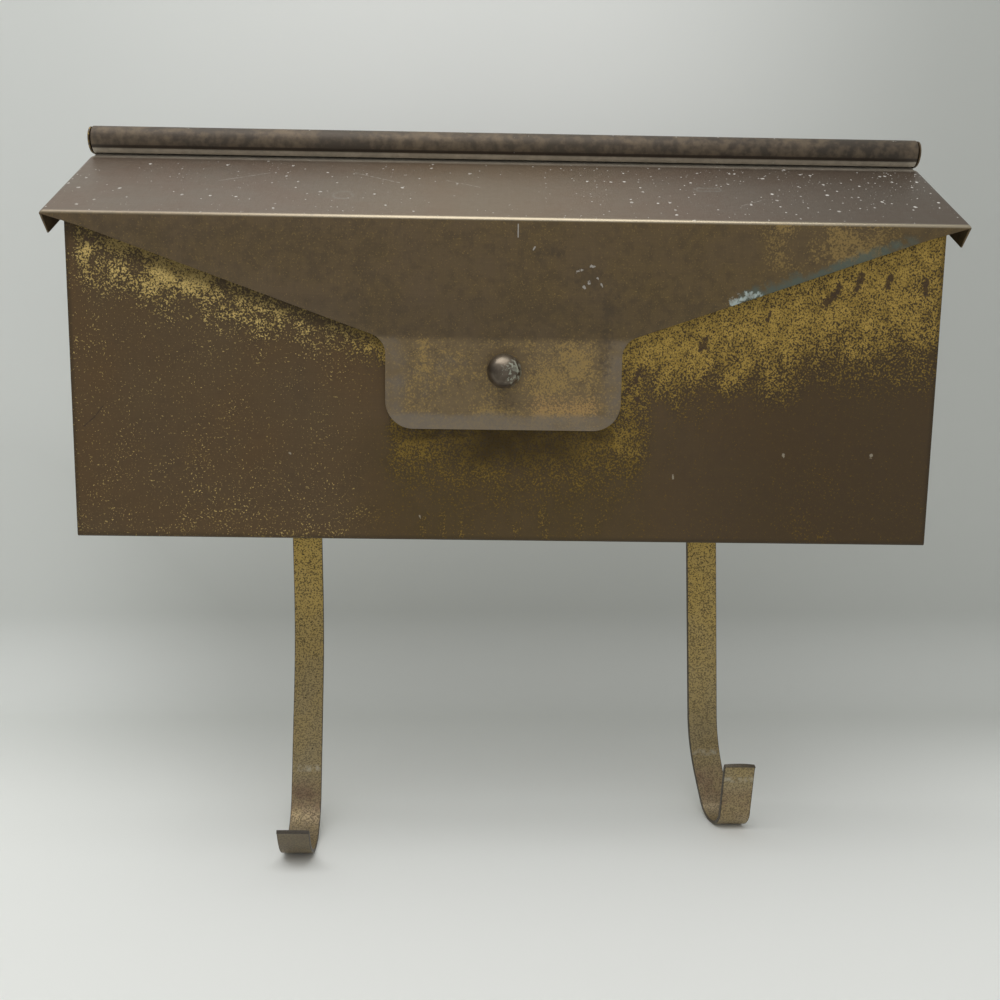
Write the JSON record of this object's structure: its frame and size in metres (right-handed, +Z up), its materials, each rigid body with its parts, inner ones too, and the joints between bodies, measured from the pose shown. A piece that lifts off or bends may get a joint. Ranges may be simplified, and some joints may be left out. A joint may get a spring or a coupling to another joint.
{
  "type": "wall mailbox",
  "caption": "Wall-hung letter box folded from tarnished sheet brass, with a hinged tongued lid, a ball knob and bent strap hooks for papers below.",
  "frame": {"origin": "middle of the back plate's rear face, which lies against the wall", "axes": "+X to the right seen from the front, +Y into the wall, +Z up"},
  "size_m": [0.4268, 0.0935, 0.3662],
  "materials": {
    "brown_brass": "brown patina with speckled yellow brass showing through",
    "lid_brass": "grey-brown patina with white and green spots",
    "rod_brass": "dull brown brass",
    "knob_brass": "polished by handling, brown, with a green spot",
    "strap_brass": "yellow brass under dark speckles",
    "rivet_brass": "dull brass"
  },
  "bodies": {
    "box": {"back_plate": "brown_brass", "front_sheet": "brown_brass", "left_end_panel": "brown_brass", "right_end_panel": "brown_brass", "hinge_rod": "rod_brass", "left_hook": "strap_brass", "right_hook": "strap_brass", "left_hook_rivet_1": "rivet_brass", "left_hook_rivet_2": "rivet_brass", "right_hook_rivet_1": "rivet_brass", "right_hook_rivet_2": "rivet_brass", "end_rivet_1": "rivet_brass", "end_rivet_2": "rivet_brass", "end_rivet_3": "rivet_brass", "end_rivet_4": "rivet_brass", "end_rivet_5": "rivet_brass", "end_rivet_6": "rivet_brass", "bottom_rivet_1": "rivet_brass", "bottom_rivet_2": "rivet_brass", "bottom_rivet_3": "rivet_brass"},
    "lid": {"lid": "lid_brass", "knob": "knob_brass", "knob_washer": "rivet_brass"}
  },
  "joints": [
    {"name": "lid_hinge", "type": "hinge", "parent": "box", "child": "lid", "pos_m": [0, -0.008, 0.0987], "axis": [-1, 0, 0], "range_deg": [0, 110]}
  ]
}
